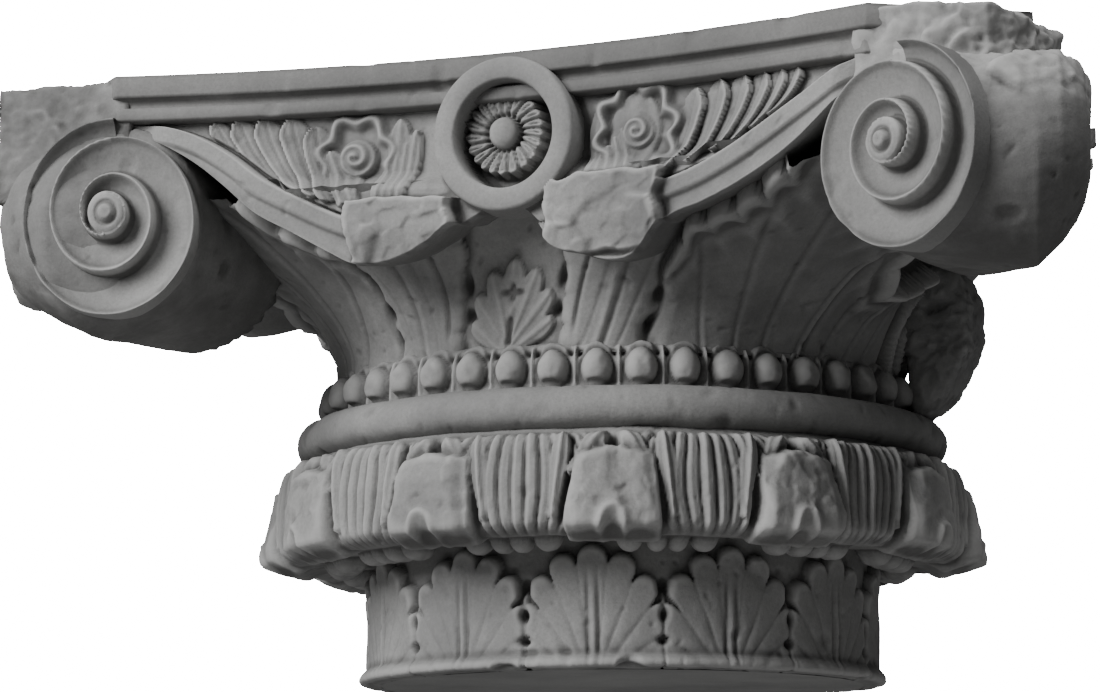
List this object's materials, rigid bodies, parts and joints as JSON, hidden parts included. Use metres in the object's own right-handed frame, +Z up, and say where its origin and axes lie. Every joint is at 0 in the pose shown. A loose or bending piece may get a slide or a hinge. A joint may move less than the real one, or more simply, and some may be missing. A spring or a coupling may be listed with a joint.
{
  "type": "composite capital",
  "caption": "Carved marble capital of the composite order: leafy neck, folded ring with bosses, torus, egg band, leafy bell and a concave abacus on corner volutes, broken at two corners and cut off flat behind",
  "frame": {"origin": "centre of the flat round bed on the underside, on the axis of the shaft below", "axes": "+Z up through the shaft's axis, -Y out of the front face with the medallion, +X to the right of that face, the flat back at +Y"},
  "size_m": [1.0568, 0.5945, 0.545],
  "materials": {
    "marble": "weathered grey marble with a dull, worn skin"
  },
  "bodies": {
    "root": {"capital": "marble"}
  },
  "joints": []
}
